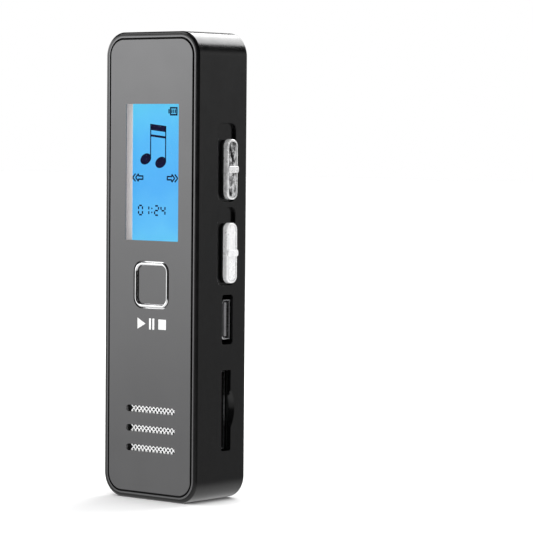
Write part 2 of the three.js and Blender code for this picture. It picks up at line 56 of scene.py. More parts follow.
# ---------- places taken from the CAD frame, in millimetres ----------

def box_mm(node):
    low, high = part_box(node)
    return Vector(low) / MM, Vector(high) / MM


def middle(node):
    low, high = box_mm(node)
    return (low + high) / 2


FRAME_LOW, FRAME_HIGH = box_mm("frame")
BODY_WIDTH = FRAME_HIGH.x - FRAME_LOW.x
BODY_HEIGHT = FRAME_HIGH.z - FRAME_LOW.z
SIDE = FRAME_HIGH.x
FRONT = FRAME_LOW.y
BACK = FRAME_HIGH.y
CENTRE_Z = BODY_HEIGHT / 2

PANEL_LOW, PANEL_HIGH = box_mm("front_panel")
PANEL_INSET = SIDE - PANEL_HIGH.x
LCD_LOW, LCD_HIGH = box_mm("lcd_panel")

# ---------- sizes the CAD boxes don't give, in millimetres ----------

CORNER = 4.5                 # body corners, seen from the front
EDGE_INSET = 0.84            # rounding of the housing's long edges, across the front and back
EDGE_DEPTH = 0.44            # and down the sides
LIP_RING = {"outer": 0.74, "inner": 1.06, "proud": 0.03}
# The matte black ring of painted shade in the groove round each panel: its inner inset, and how far it is
# sunk.
GROOVE_SHADE = {"inner": 1.36, "sunk": 0.3}
WALL = 1.6
LEDGE_INSET = 2.2
LEDGE_FLOOR = 1.8            # how deep the ledge that carries a panel reaches
PANEL_SEAT = 0.95            # how deep a panel's pocket is
PANEL_CLEARANCE = 0.1
LIP = 0.12                   # softened rims of the cut-outs

SLOT = {"x": 0.3, "length": 12.3, "height": 1.25, "z": (17.05, 13.35, 9.65)}
KEY_OPENING_GAP = 0.2        # between the play key and the panel
WINDOW_THICKNESS = 0.1
INK = 0.02                   # how far printed marks stand off their face
BACK_FACE = box_mm("back_panel")[1].y - INK
PLAY_CORNER = 1.8
PLAY_RIM = 0.6

RECESS = {"y": 1.2, "width": 4.8, "depth": 0.65, "end": 0.3, "corner": 1.2, "travel": 2.6,
          "rim": 0.28}
USB_OPENING = {"y": 1.63, "z": 34.25, "width": 2.96, "length": 9.3, "corner": 0.5}
CARD_OPENING = {"y": 1.44, "z": 17.15, "width": 2.54, "length": 15.2, "corner": 0.3}
SCOOP = {"z": 17.4, "radius": 6.44, "reach": 3.8, "depth": 0.95}
KEY_CLEARANCE = 0.15         # between a side key and the housing
KEY_CORNER = 1.1
JACK_BORE = 1.8
MIC_HOLE = 0.6


# ---------- outlines ----------

def arc(centre, radius, start, end, steps):
    return [
        (centre[0] + radius * math.cos(start + (end - start) * i / steps),
         centre[1] + radius * math.sin(start + (end - start) * i / steps))
        for i in range(steps + 1)
    ]


def rounded_rect(width, height, radius, u=0.0, v=0.0, steps=10):
    """Points of a rectangle with round corners, turning left all the way round."""
    points = []
    corners = ((1, -1, -90), (1, 1, 0), (-1, 1, 90), (-1, -1, 180))
    for side_u, side_v, start in corners:
        centre = (u + side_u * (width / 2 - radius), v + side_v * (height / 2 - radius))
        points += arc(centre, radius, math.radians(start), math.radians(start + 90), steps)
    return points


def circle(radius, u=0.0, v=0.0, steps=48):
    return arc((u, v), radius, 0, 2 * math.pi, steps)[:-1]


AXES = {"x": (1, 2, 0), "y": (0, 2, 1), "z": (0, 1, 2)}      # where u, v and w go


def placed(axis, u, v, w):
    point = Vector()
    for index, value in zip(AXES[axis], (u, v, w)):
        point[index] = value
    return point


# ---------- solids ----------

def new_object(name, bm):
    bmesh.ops.recalc_face_normals(bm, faces=bm.faces)
    mesh = bpy.data.meshes.new(name)
    bm.to_mesh(mesh)
    bm.free()
    piece = bpy.data.objects.new(name, mesh)
    bpy.context.scene.collection.objects.link(piece)
    return piece


def join_rows(bm, rows, closed=False):
    """Faces between neighbouring rows of vertices, which either meet in a ring or get end caps."""
    for lower, upper in zip(rows, rows[1:] + rows[:closed]):
        for i in range(len(lower)):
            j = (i + 1) % len(lower)
            bm.faces.new((lower[i], lower[j], upper[j], upper[i]))
    if not closed:
        bm.faces.new(rows[0][::-1])
        bm.faces.new(rows[-1])


def loft_into(bm, rings, axis, closed=False):
    """Joins rings of (outline, position along the axis)."""
    rows = [[bm.verts.new(placed(axis, u, v, w)) for u, v in outline] for outline, w in rings]
    join_rows(bm, rows, closed)


def loft(name, rings, axis):
    bm = bmesh.new()
    loft_into(bm, rings, axis)
    return new_object(name, bm)


def rect_rings(width, height, radius, u, v, stations, steps=10):
    """One rounded rectangle for each (growth, position): growth pushes its outline outwards."""
    return [
        (rounded_rect(width + 2 * grow, height + 2 * grow, max(radius + grow, 0.01), u, v, steps), w)
        for grow, w in stations
    ]


def fillet(face, inward, inset, depth=None, steps=5):
    """Stations that round an edge over, from the end face at `face` to the side wall.

    inward is +1 or -1: the way from the face into the solid. The rounding takes inset off the face
    and depth off the side, which is the same as inset unless it is given."""
    if depth is None:
        depth = inset
    stations = []
    for i in range(steps + 1):
        turn = math.pi / 2 * i / steps
        stations.append((-inset * (1 - math.sin(turn)), face + inward * depth * (1 - math.cos(turn))))
    return stations


def pad(name, width, height, radius, u, v, low, high, axis, low_edge=0.0, high_edge=0.0, steps=10):
    """A block with a rounded outline, whose two ends can each be rounded over."""
    stations = fillet(low, 1, low_edge) if low_edge else [(0, low)]
    stations += fillet(high, -1, high_edge)[::-1] if high_edge else [(0, high)]
    return loft(name, rect_rings(width, height, radius, u, v, stations, steps), axis)


def box_pad(name, low, high, corner, axis, low_edge=0.0, high_edge=0.0, steps=10):
    """A pad that fills the box between two corners."""
    u, v, w = AXES[axis]
    size = high - low
    centre = (low + high) / 2
    return pad(
        name, size[u], size[v], corner, centre[u], centre[v], low[w], high[w], axis,
        low_edge, high_edge, steps,
    )


def body_rings(inset, stations, steps=18):
    """Rings with the body's outline, drawn in from its sides by inset."""
    width = BODY_WIDTH - 2 * inset
    height = BODY_HEIGHT - 2 * inset
    return rect_rings(width, height, CORNER - inset, 0, CENTRE_Z, stations, steps)


def rod(name, radius, u, v, low, high, axis, steps=48):
    return loft(name, [(circle(radius, u, v, steps), low), (circle(radius, u, v, steps), high)], axis)


def opening(width, height, radius, u, v, deep, face, outward, axis, steps=8, lip=LIP):
    """A cutting tool that leaves a softened rim where it breaks the face."""
    stations = [
        (0, deep),
        (0, face - outward * lip),
        (lip * 0.3, face - outward * lip * 0.3),
        (lip, face),
        (lip, face + outward),
    ]
    return loft("tool", rect_rings(width, height, radius, u, v, stations, steps), axis)


# ---------- booleans ----------

def combine(target, tool, operation):
    modifier = target.modifiers.new("boolean", "BOOLEAN")
    modifier.operation = operation
    modifier.solver = "EXACT"
    modifier.object = tool
    depsgraph = bpy.context.evaluated_depsgraph_get()
    result = bpy.data.meshes.new_from_object(target.evaluated_get(depsgraph))
    target.modifiers.clear()
    old = target.data
    target.data = result
    bpy.data.meshes.remove(old)
    bpy.data.objects.remove(tool)


def cut(target, *tools):
    for tool in tools:
        combine(target, tool, "DIFFERENCE")
    return target


def join(target, *others):
    for other in others:
        combine(target, other, "UNION")
    return target


# ---------- finishing a piece ----------

SMOOTH_ANGLE = math.radians(40)


def settle(piece, body, slot, replaces=(), material=None):
    """Scales a piece to metres, smooths its shading, and puts it on its body.

    Its material has the slot's name unless another one is given."""
    mesh = piece.data
    mesh.transform(Matrix.Scale(MM, 4))
    bm = bmesh.new()
    bm.from_mesh(mesh)
    bmesh.ops.remove_doubles(bm, verts=bm.verts, dist=2e-7)
    bmesh.ops.dissolve_degenerate(bm, dist=1e-7, edges=bm.edges)
    bmesh.ops.recalc_face_normals(bm, faces=bm.faces)
    bm.to_mesh(mesh)
    bm.free()
    for polygon in mesh.polygons:
        polygon.use_smooth = True
    mesh.set_sharp_from_angle(angle=SMOOTH_ANGLE)
    weighted = piece.modifiers.new("normals", "WEIGHTED_NORMAL")
    weighted.keep_sharp = True
    weighted.weight = 100
    mesh.materials.clear()
    mesh.materials.append(MATERIAL[material or slot])
    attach(piece, body)
    if replaces:
        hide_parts(*replaces)


# ---------- materials ----------

class Graph:
    """A short way to write a node tree."""

    def __init__(self, tree):
        self.tree = tree

    def feed(self, socket, value):
        """Joins an input to another node's output, or sets it to a fixed value."""
        if isinstance(value, bpy.types.NodeSocket):
            self.tree.links.new(value, socket)
        else:
            socket.default_value = value

    def add(self, kind, inputs=None, **settings):
        node = self.tree.nodes.new(kind)
        for key, value in settings.items():
            setattr(node, key, value)
        for key, value in (inputs or {}).items():
            self.feed(node.inputs[key], value)
        return node

    def maths(self, operation, first, second):
        return self.add("ShaderNodeMath", {0: first, 1: second}, operation=operation).outputs[0]

    def remap(self, source, low, high, from_low=0.3, from_high=0.7, interpolation_type="LINEAR"):
        node = self.add("ShaderNodeMapRange", {
            "Value": source, "From Min": from_low, "From Max": from_high, "To Min": low, "To Max": high,
        }, interpolation_type=interpolation_type)
        return node.outputs["Result"]


class Nodes(Graph):
    """A material's nodes, around its Principled shader."""

    def __init__(self, name, **settings):
        self.material = bpy.data.materials.new(name)
        self.material.use_nodes = True
        super().__init__(self.material.node_tree)
        self.shader = self.tree.nodes["Principled BSDF"]
        self.place = self.add("ShaderNodeTexCoord").outputs["Object"]
        for key, value in settings.items():
            self.set(key.replace("_", " "), value)

    def set(self, socket, value):
        self.feed(self.shader.inputs[socket], value)

    def noise(self, scale, detail=3.0, roughness=0.5, stretch=(1, 1, 1)):
        mapping = self.add("ShaderNodeMapping", {"Scale": stretch, "Vector": self.place})
        node = self.add("ShaderNodeTexNoise", {
            "Scale": scale, "Detail": detail, "Roughness": roughness, "Vector": mapping.outputs["Vector"],
        })
        return node.outputs["Fac"]

    def ramp(self, source, stops):
        """Colour that runs through stops of (position, colour)."""
        node = self.add("ShaderNodeValToRGB", {"Fac": source})
        elements = node.color_ramp.elements
        while len(elements) < len(stops):
            elements.new(0.5)
        for element, (position, colour) in zip(elements, stops):
            element.position = position
            element.color = (*colour, 1)
        return node.outputs["Color"]

    def blend(self, source, first, second, from_low=0.3, from_high=0.7):
        """Colour that runs from first to second as source goes from from_low to from_high."""
        return self.ramp(source, ((from_low, first), (from_high, second)))

    def bump(self, source, strength, distance):
        node = self.add("ShaderNodeBump", {"Strength": strength, "Distance": distance, "Height": source})
        self.set("Normal", node.outputs["Normal"])


def grey(level, blue=0.0):
    return (level, level, level + blue)


def surface(name, shades, shade_noise, rough, rough_noise, relief, relief_noise, **settings):
    """A material whose colour, roughness and relief each follow a noise of their own.

    shades are the two colours, and may end with the span of the noise they run over. relief is
    the strength and the height of the bumps, in metres."""
    nodes = Nodes(name, **settings)
    nodes.set("Base Color", nodes.blend(nodes.noise(*shade_noise), *shades))
    nodes.set("Roughness", nodes.remap(nodes.noise(*rough_noise), *rough))
    nodes.bump(nodes.noise(*relief_noise), *relief)
    return nodes.material


def chrome_painted_reflection():
    """Switch chrome with painted reflection: near-black and near-white patches in its colour stand in for
    dark and bright surroundings mirrored in it. The same noise sets its roughness and bumps.
    """
    nodes = Nodes("chrome_painted_reflection", Metallic=0.85)
    painted_reflection_noise = nodes.noise(800, 8, 0.74, (1, 1.3, 0.6))
    # Painted reflection: the colour runs from near-black to near-white to copy dark and bright
    # surroundings mirrored in the chrome.
    nodes.set("Base Color", nodes.blend(painted_reflection_noise, grey(0.012, 0.001), grey(0.97, 0.01), 0.45, 0.56))
    nodes.set("Roughness", nodes.remap(painted_reflection_noise, 0.34, 0.14))
    nodes.bump(painted_reflection_noise, 0.5, 0.00005)
    return nodes.material


def silver(name, metallic, dark, light):
    return surface(
        name, (dark, light, 0.4, 0.6), (1100, 5, 0.65),
        (0.24, 0.38), (1300, 4), (0.06, 0.00003), (2400, 3), Metallic=metallic,
    )


def plastic(name, dark, light, grain=2200, rough=(0.4, 0.55), bump=0.12, painted_glow=0.0, shine=0.5):
    # The glow argument adds painted light: emission on a part that is no lamp, lifting it out of shade.
    lit = {"Emission_Strength": painted_glow, "Emission_Color": (*light, 1)} if painted_glow else {}
    return surface(
        name, (dark, light), (grain * 0.3, 3), rough, (grain * 0.5, 4),
        (bump, 0.00004), (grain, 3), Specular_IOR_Level=shine, **lit,
    )


def metal(name, dark, light, rough=(0.22, 0.38), bump=0.06, stretch=(1, 1, 12)):
    """Metal with a grain drawn out along one axis."""
    return surface(
        name, (dark, light), (500, 4, 0.6, stretch), rough, (900, 4, 0.6, stretch),
        (bump, 0.00003), (1800, 3, 0.5, stretch), Metallic=1.0,
    )


def clear_window():
    nodes = Nodes("clear_window", Roughness=0.03, IOR=1.49, Alpha=0.03, Specular_IOR_Level=0.03)
    nodes.set("Base Color", nodes.blend(nodes.noise(90, 2), (0.02, 0.03, 0.05), (0.03, 0.045, 0.07)))
    return nodes.material


BACKLIGHT = (
    (0.0, (0.145, 0.640, 0.960)),
    (0.16, (0.115, 0.540, 0.960)),
    (0.45, (0.083, 0.455, 0.950)),
    (0.72, (0.095, 0.520, 0.960)),
    (1.0, (0.125, 0.640, 0.950)),
)


def bricks(nodes, vector, width, height, gap, first, second, mortar, **settings):
    """A brick pattern with sizes in metres."""
    return nodes.add("ShaderNodeTexBrick", {
        "Vector": vector, "Scale": 1.0, "Brick Width": width, "Row Height": height,
        "Mortar Size": gap, "Color1": (*first, 1), "Color2": (*second, 1), "Mortar": (*mortar, 1),
    }, **settings)


def lit_screen():
    """Blue backlight that changes up the screen, behind a faint grid of display dots."""
    nodes = Nodes("lit_screen", Roughness=0.45, Specular_IOR_Level=0.1, Emission_Strength=1.0)
    split = nodes.add("ShaderNodeSeparateXYZ", {"Vector": nodes.place})
    height = nodes.remap(split.outputs["Z"], 0, 1, LCD_LOW.z * MM, LCD_HIGH.z * MM)
    cloud = nodes.remap(nodes.noise(110, 2), -0.1, 0.1)
    light = nodes.ramp(nodes.maths("ADD", height, cloud), BACKLIGHT)
    flat = nodes.add("ShaderNodeCombineXYZ", {"X": split.outputs["X"], "Y": split.outputs["Z"]})
    pitch = 0.00021
    grid = bricks(
        nodes, flat.outputs["Vector"], pitch, pitch, pitch * 0.09,
        grey(1), grey(0.985), (0.86, 0.88, 0.9), offset=0.0, squash=1.0,
    )
    mix = nodes.add("ShaderNodeMix", {
        "Factor": 1.0, "A": light, "B": grid.outputs["Color"],
    }, data_type="RGBA", blend_type="MULTIPLY")
    nodes.set("Emission Color", mix.outputs["Result"])
    unlit = nodes.blend(grid.outputs["Fac"], (0.012, 0.035, 0.07), (0.006, 0.02, 0.04), 0.4, 0.6)
    nodes.set("Base Color", unlit)
    return nodes.material


def foam():
    nodes = Nodes("foam", Roughness=0.95)
    cells = nodes.add("ShaderNodeTexVoronoi", {"Scale": 2600, "Vector": nodes.place}).outputs["Distance"]
    nodes.set("Base Color", nodes.blend(cells, grey(0.008), grey(0.03), 0.0, 0.6))
    nodes.bump(cells, 0.5, 0.0001)
    return nodes.material


def circuit_board():
    """Green solder mask over copper runs, which show as slightly lighter, raised lines."""
    nodes = Nodes("circuit_board")
    turn = nodes.add("ShaderNodeMapping", {"Rotation": (math.pi / 2, 0, 0), "Vector": nodes.place})
    runs = bricks(
        nodes, turn.outputs["Vector"], 0.0031, 0.0011, 0.00009,
        (0.008, 0.050, 0.020), (0.010, 0.060, 0.024), (0.03, 0.13, 0.05), offset=0.37, squash=0.6,
    )
    nodes.set("Base Color", runs.outputs["Color"])
    nodes.set("Roughness", nodes.remap(nodes.noise(600, 3), 0.3, 0.42))
    nodes.bump(runs.outputs["Fac"], 0.3, 0.00004)
    return nodes.material


def flex_film():
    """Amber polyimide film with copper lines that run along the cable."""
    nodes = Nodes("flex_film", Roughness=0.35)
    waves = nodes.add("ShaderNodeTexWave", {"Scale": 620, "Vector": nodes.place}, bands_direction="X")
    lines = waves.outputs["Fac"]
    nodes.set("Base Color", nodes.blend(lines, (0.30, 0.12, 0.02), (0.55, 0.27, 0.07), 0.4, 0.6))
    nodes.bump(lines, 0.3, 0.00002)
    return nodes.material


MATERIAL = {
    "housing_black": surface(
        "black_gloss", (grey(0.0009, 0.0001), grey(0.002, 0.0002)), (900, 4),
        (0.17, 0.27), (260, 5, 0.6), (0.05, 0.00002), (5200, 2), IOR=1.45,
    ),
    "mirror_panel": surface(
        "dark_mirror", (grey(0.131, 0.002), grey(0.139, 0.002)), (60, 3),
        (0.2, 0.25), (140, 5, 0.62), (0.01, 0.00001), (3000, 2), Metallic=1.0,
    ),
    "chrome": surface(
        "chrome", (grey(0.8, 0.01), grey(0.9, 0.01)), (700, 3),
        (0.06, 0.14), (1500, 4), (0.05, 0.00006), (1100, 3, 0.55), Metallic=1.0,
    ),
    "chrome_painted_reflection": chrome_painted_reflection(),
    "bright_chrome": silver("bright_chrome", 0.55, grey(0.72, 0.01), grey(0.97)),
    "satin_silver": silver("satin_silver", 0.3, grey(0.82, 0.01), grey(0.93)),
    "clear_window": clear_window(),
    "lit_screen": lit_screen(),
    # The display tray's glow is painted light: it lifts the tray out of the shade inside the deep window
    # opening.
    "white_tray": plastic(
        "white_tray", (0.52, 0.5, 0.5), (0.6, 0.575, 0.575), 1500, (0.55, 0.7), 0.05, painted_glow=0.5, shine=0.2,
    ),
    "white_ink": plastic("white_ink", grey(0.82), grey(0.92), 3000, (0.45, 0.6), 0.1),
    "navy_ink": plastic(
        "navy_ink", (0.003, 0.002, 0.02), (0.005, 0.004, 0.035), 3000, (0.5, 0.6), 0.05, shine=0.04,
    ),
    "black_plastic": plastic("black_plastic", grey(0.006), grey(0.013)),
    "chip": plastic("chip_epoxy", grey(0.008, 0.001), grey(0.018, 0.001), 4000, (0.5, 0.7), 0.25),
    "grey_plastic": plastic("grey_plastic", grey(0.12, 0.004), grey(0.16, 0.004), 2500, (0.35, 0.5), 0.06),
    # Matte black for the ring of painted shade in the panel grooves.
    "groove_shade_ring": plastic("groove_shade_black", grey(0.002), grey(0.004), 1200, (0.85, 0.95), 0.1),
    "glue": plastic("glue_film", grey(0.01), grey(0.02), 900, (0.6, 0.8), 0.2),
    "cone": plastic("cone_paper", (0.014, 0.013, 0.012), (0.03, 0.028, 0.026), 1600, (0.75, 0.9), 0.5),
    "steel": metal("plated_steel", grey(0.44, 0.01), grey(0.58, 0.02)),
    # The wires glow a little: painted light that lifts them out of the shade inside the slots, though the
    # mesh is no lamp.
    "speaker_mesh": plastic(
        "mesh_wire_painted_light", grey(0.9, 0.01), grey(0.98), 2600, (0.25, 0.35), 0.05, painted_glow=0.3, shine=1.0,
    ),
    "brass": metal(
        "nickelled_brass", (0.55, 0.53, 0.48), (0.7, 0.68, 0.62), (0.16, 0.26), stretch=(1, 1, 6),
    ),
    "foam": foam(),
    "circuit_board": circuit_board(),
    "battery_foil": surface(
        "battery_foil", ((0.42, 0.44, 0.47), (0.58, 0.60, 0.63)), (300, 4),
        (0.3, 0.45), (420, 4), (0.5, 0.00015), (240, 5, 0.6), Metallic=0.8,
    ),
    "flex": flex_film(),
}


# ---------- housing ----------

def panel_pocket(face, outward):
    """The panel's seat, with a wider groove at its mouth that holds the black ring of painted shade."""
    seat = PANEL_INSET - PANEL_CLEARANCE
    widen = seat - LIP_RING["inner"]
    groove = face - outward * (GROOVE_SHADE["sunk"] + 0.1)
    stations = [
        (0, face - outward * PANEL_SEAT),
        (0, groove),
        (widen, groove),
        (widen, face + outward),
    ]
    return loft("tool", body_rings(seat, stations), "y")


def inside_of(inset, low, high):
    return loft("tool", body_rings(inset, [(0, low), (0, high)], 12), "y")


def ring_solid(name, outer, inner, stations):
    """A frame-shaped ring between two insets from the body's sides, with the given end stations."""
    ring = loft(name, body_rings(outer, stations), "y")
    low = min(w for _, w in stations) - 1
    high = max(w for _, w in stations) + 1
    return cut(ring, loft("tool", body_rings(inner, [(0, low), (0, high)]), "y"))


def lip_ring(name, face, outward):
    """The thin polished line that runs round the panel, just inside the housing's rounded edge."""
    top = face + outward * LIP_RING["proud"]
    soft = 0.04
    stations = [(0, face - outward * 0.15), (0, top - outward * soft), (-soft, top)]
    ring = ring_solid(name, LIP_RING["outer"], LIP_RING["inner"], stations)
    settle(ring, HOUSING, "mirror_panel")


def groove_shade_ring(name, face, outward):
    """A matte black ring at the bottom of the groove between the lip and the panel: painted shade, a dark
    piece put where the groove is only in shade.
    """
    top = face - outward * GROOVE_SHADE["sunk"]
    stations = [(0, top - outward * 0.09), (0, top)]
    ring = ring_solid(name, LIP_RING["inner"] + 0.01, GROOVE_SHADE["inner"], stations)
    settle(ring, HOUSING, "glue", material="groove_shade_ring")


def side_opening(width, length, corner, y, z, deep=WALL + 1, outward=1, **settings):
    """An opening in one of the two long sides, deep below its face."""
    face = outward * SIDE
    return opening(width, length, corner, y, z, face - outward * deep, face, outward, "x", **settings)


def slider_recess(knob):
    low, high = box_mm(knob)
    bottom = low.z - RECESS["end"]
    top = high.z + RECESS["travel"] + RECESS["end"]
    return side_opening(
        RECESS["width"], top - bottom, RECESS["corner"], RECESS["y"], (bottom + top) / 2,
        RECESS["depth"], lip=RECESS["rim"],
    )


def actuator_slot(actuator):
    low, high = box_mm(actuator)
    side = 0.2
    start = Vector((SIDE - WALL - 1, low.y - side, low.z - side))
    end = Vector((SIDE - 0.5, high.y + side, high.z + side + RECESS["travel"]))
    return box_pad("tool", start, end, 0.3, "x", steps=4)


def key_opening(key):
    low, high = key_face(key)
    width = high[0] - low[0] + 2 * KEY_CLEARANCE
    length = high[1] - low[1] + 2 * KEY_CLEARANCE
    centre = middle(key)
    return side_opening(width, length, KEY_CORNER + KEY_CLEARANCE, centre.y, centre.z, outward=-1)


def card_scoop():
    """A thumbnail notch that slopes down from the side face to the card slot."""
    centre_y = SCOOP["reach"] - SCOOP["radius"]
    spread = math.radians(46)
    rings = []
    for depth, shrink in ((SCOOP["depth"], 0.55), (0.12, 0.08), (0.0, 0.0), (-1.0, 0.0)):
        radius = SCOOP["radius"] - shrink
        outline = arc((centre_y, SCOOP["z"]), radius, -spread, spread, 24)
        rings.append((outline, SIDE - depth))
    return loft("tool", rings, "x")


def housing():
    stations = fillet(FRONT, 1, EDGE_INSET, EDGE_DEPTH, 7)
    stations += fillet(BACK, -1, EDGE_INSET, EDGE_DEPTH, 7)[::-1]
    shell = loft("housing_shell", body_rings(0, stations), "y")
    jack = middle("headphone_jack")
    ring_low, ring_high = box_mm("jack_ring")
    ring_hole = (ring_high.x - ring_low.x) / 2 + 0.1
    mic = middle("microphone")
    ceiling = BODY_HEIGHT - WALL - 1
    above = BODY_HEIGHT + 1
    mic_stations = ((0, ceiling), (0, BODY_HEIGHT - LIP), (LIP, BODY_HEIGHT), (LIP, above))
    cut(
        shell,
        panel_pocket(FRONT, -1),
        panel_pocket(BACK, 1),
        inside_of(LEDGE_INSET, FRONT, BACK),
        inside_of(WALL, FRONT + LEDGE_FLOOR, BACK - LEDGE_FLOOR),
        slider_recess("rec_knob"),
        slider_recess("power_knob"),
        actuator_slot("rec_actuator"),
        actuator_slot("power_actuator"),
        *[key_opening(key) for key in KEYS],
        side_opening(**USB_OPENING, steps=6),
        side_opening(**CARD_OPENING, steps=6),
        card_scoop(),
        rod("tool", ring_hole, jack.x, jack.y, ceiling, above, "z"),
        loft("tool", [(circle(MIC_HOLE + grow, mic.x, mic.y, 24), z) for grow, z in mic_stations], "z"),
    )
    settle(shell, HOUSING, "housing_black", ["frame"])
    # Each panel gets its lip ring and a black ring of painted shade in the groove inside it.
    for side, face, outward in (("front", FRONT, -1), ("back", BACK, 1)):
        lip_ring(f"{side}_lip", face, outward)
        groove_shade_ring(f"{side}_gasket", face, outward)


def panel_blank(name, low, high):
    soft = 0.12
    if low < 0:
        stations = fillet(low, 1, soft) + [(0, high)]
    else:
        stations = [(0, low)] + fillet(high, -1, soft)[::-1]
    return loft(name, body_rings(PANEL_INSET, stations), "y")


def window_opening(deep, face):
    """The display opening: a thin rim at the face, then wider behind, where the display sits."""
    low, high = box_mm("display_window")
    window = (low + high) / 2
    gap = 0.05
    rim = 0.12
    undercut = 0.9
    stations = [(undercut, deep), (undercut, face + 0.35), (0, face + rim), (0, face - 1)]
    width = high.x - low.x + 2 * gap
    height = high.z - low.z + 2 * gap
    return loft("tool", rect_rings(width, height, 0.15, window.x, window.z, stations, 3), "y")


def front_panel():
    panel = panel_blank("front_lens", PANEL_LOW.y, PANEL_HIGH.y)
    deep = PANEL_HIGH.y + 1
    face = PANEL_LOW.y
    play = middle("play_inlay")
    play_size = play_face_size() + 2 * KEY_OPENING_GAP
    play_corner = PLAY_CORNER + KEY_OPENING_GAP
    cut(
        panel,
        window_opening(deep, face),
        opening(play_size, play_size, play_corner, play.x, play.z, deep, face, -1, "y", lip=0.05),
    )
    round_end = SLOT["height"] / 2 - 0.001
    for z in SLOT["z"]:
        cut(panel, opening(
            SLOT["length"], SLOT["height"], round_end, SLOT["x"], z, deep, face, -1, "y", lip=0.04,
        ))
    settle(panel, HOUSING, "mirror_panel", ["front_panel"])


def back_panel():
    low, high = box_mm("back_panel")
    panel = panel_blank("back_lens", low.y, BACK_FACE)
    settle(panel, HOUSING, "mirror_panel", ["back_panel"])


# ---------- display ----------

def display():
    low, high = box_mm("display_window")
    high.y = low.y + WINDOW_THICKNESS
    pane = box_pad("window_pane", low, high, 0.12, "y", 0.03, 0.0, 3)
    settle(pane, HOUSING, "clear_window", ["display_window"])
    screen = box_pad("screen_glass", LCD_LOW, LCD_HIGH, 0.1, "y", 0.02, 0.0, 2)
    settle(screen, HOUSING, "lit_screen", ["lcd_panel"])


# ---------- flat printed marks ----------

class Mark:
    """Flat shapes that stand a hair proud of a face that looks along -Y or +Y."""

    def __init__(self, face, outward):
        self.bm = bmesh.new()
        self.low = face
        self.high = face + outward * INK

    def polygon(self, points):
        loft_into(self.bm, [(points, self.low), (points, self.high)], "y")

    def disc(self, u, v, radius, steps=28):
        self.polygon(circle(radius, u, v, steps))

    def oval(self, u, v, long_radius, short_radius, tilt, steps=28):
        cos_tilt = math.cos(tilt)
        sin_tilt = math.sin(tilt)
        points = []
        for along, across in circle(1.0, 0, 0, steps):
            a = along * long_radius
            b = across * short_radius
            points.append((u + a * cos_tilt - b * sin_tilt, v + a * sin_tilt + b * cos_tilt))
        self.polygon(points)

    def bar(self, u0, v0, u1, v1, width):
        """A straight line of the given width."""
        length = math.hypot(u1 - u0, v1 - v0)
        side_u = -(v1 - v0) / length * width / 2
        side_v = (u1 - u0) / length * width / 2
        self.polygon([
            (u0 + side_u, v0 + side_v), (u0 - side_u, v0 - side_v),
            (u1 - side_u, v1 - side_v), (u1 + side_u, v1 + side_v),
        ])

    def ring(self, u, v, radius, width, start=0.0, end=360.0, steps=32):
        """An arc of a ring, made of short four-sided tiles."""
        inner = arc((u, v), radius - width / 2, math.radians(start), math.radians(end), steps)
        outer = arc((u, v), radius + width / 2, math.radians(start), math.radians(end), steps)
        for i in range(steps):
            self.polygon([inner[i], outer[i], outer[i + 1], inner[i + 1]])

    def frame(self, u0, v0, u1, v1, width):
        """The outline of a rectangle."""
        half = width / 2
        self.bar(u0, v0 + half, u1, v0 + half, width)
        self.bar(u0, v1 - half, u1, v1 - half, width)
        self.bar(u0 + half, v0 + width, u0 + half, v1 - width, width)
        self.bar(u1 - half, v0 + width, u1 - half, v1 - width, width)


def music_note(mark):
    left = (-1.42, 64.6)
    right = (2.38, 64.0)
    stem = 0.24
    left_top = 70.8
    right_top = 70.4
    for (u, v), stem_top in ((left, left_top), (right, right_top)):
        mark.bar(u, v, u, stem_top, stem)
        mark.oval(u - 1.22, v - 0.42, 1.42, 1.0, math.radians(22))
    for drop, thickness in ((0.0, 1.15), (1.95, 0.42)):
        mark.polygon([
            (left[0] - stem / 2, left_top - drop),
            (left[0] - stem / 2, left_top - drop - thickness),
            (right[0] + stem / 2, right_top - drop - thickness),
            (right[0] + stem / 2, right_top - drop),
        ])


def screen_arrow(mark, tip, pointing):
    """A chevron and a hollow block arrow, one behind the other."""
    z = 60.65
    half = 0.72
    line = 0.27
    head = tip - pointing * 0.75
    neck = head - pointing * half
    tail = head - pointing * 1.85
    for side in (-1, 1):
        mark.bar(tip, z, tip - pointing * half, z + side * half, line)
        mark.bar(head, z, neck, z + side * half, line)
        mark.bar(neck, z + side * half, neck, z + side * 0.3, line)
        mark.bar(neck, z + side * 0.3, tail, z + side * 0.3, line)
    mark.bar(tail, z - 0.4, tail, z + 0.4, line)


def battery_icon(mark):
    left = 3.42
    right = 5.3
    low = 72.35
    high = 73.95
    mark.frame(left, low, right, high, 0.3)
    middle_z = (low + high) / 2
    mark.bar(left - 0.24, middle_z - 0.4, left - 0.24, middle_z + 0.4, 0.3)
    for i in range(3):
        u = left + 0.5 + 0.43 * i
        mark.bar(u, low + 0.45, u, high - 0.45, 0.24)


DIGIT_SEGMENTS = {"0": "abcdef", "1": "bc", "2": "abged", "4": "fgbc"}


def digit(mark, figure, u, v, width, height, line):
    """One figure of a seven-segment number whose lower left corner is at (u, v)."""
    half = height / 2
    inner = line * 0.55
    ends = {
        "a": (u + inner, v + height, u + width - inner, v + height),
        "b": (u + width, v + half + inner, u + width, v + height - inner),
        "c": (u + width, v + inner, u + width, v + half - inner),
        "d": (u + inner, v, u + width - inner, v),
        "e": (u, v + inner, u, v + half - inner),
        "f": (u, v + half + inner, u, v + height - inner),
        "g": (u + inner, v + half, u + width - inner, v + half),
    }
    for segment in DIGIT_SEGMENTS[figure]:
        mark.bar(*ends[segment], line)


def time_readout(mark):
    line = 0.3
    width = 1.0
    height = 1.75
    pitch = 1.62
    left = -4.4
    base = 53.65
    u = left
    for figure in "01:24":
        if figure == ":":
            for dot in (0.5, 1.25):
                mark.disc(u + 0.15, base + dot, 0.16, 12)
            u += 0.85
        else:
            digit(mark, figure, u, base, width, height, line)
            u += pitch


